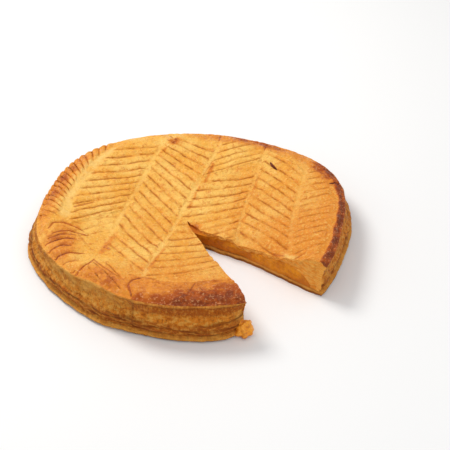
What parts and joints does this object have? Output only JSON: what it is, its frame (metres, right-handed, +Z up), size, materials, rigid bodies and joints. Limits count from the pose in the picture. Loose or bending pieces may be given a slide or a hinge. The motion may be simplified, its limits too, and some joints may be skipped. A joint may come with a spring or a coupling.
{
  "type": "galette des rois",
  "caption": "Round puff-pastry cake with a scored golden top, a raised browned rim and an almond filling, with one wedge cut out.",
  "frame": {"origin": "on the table under the middle of the whole cake's outline, the missing wedge included", "axes": "+Z up through the cake, -Y towards the side with the missing wedge, which opens between -Y and +X"},
  "size_m": [0.2769, 0.265, 0.0371],
  "materials": {
    "top_pastry": "egg-glazed puff pastry, golden with browned rim",
    "almond_filling": "moist crumbly almond cream",
    "base_pastry": "dry flaky pastry"
  },
  "bodies": {
    "root": {"lid": "top_pastry", "filling": "almond_filling", "base": "base_pastry"}
  },
  "joints": []
}
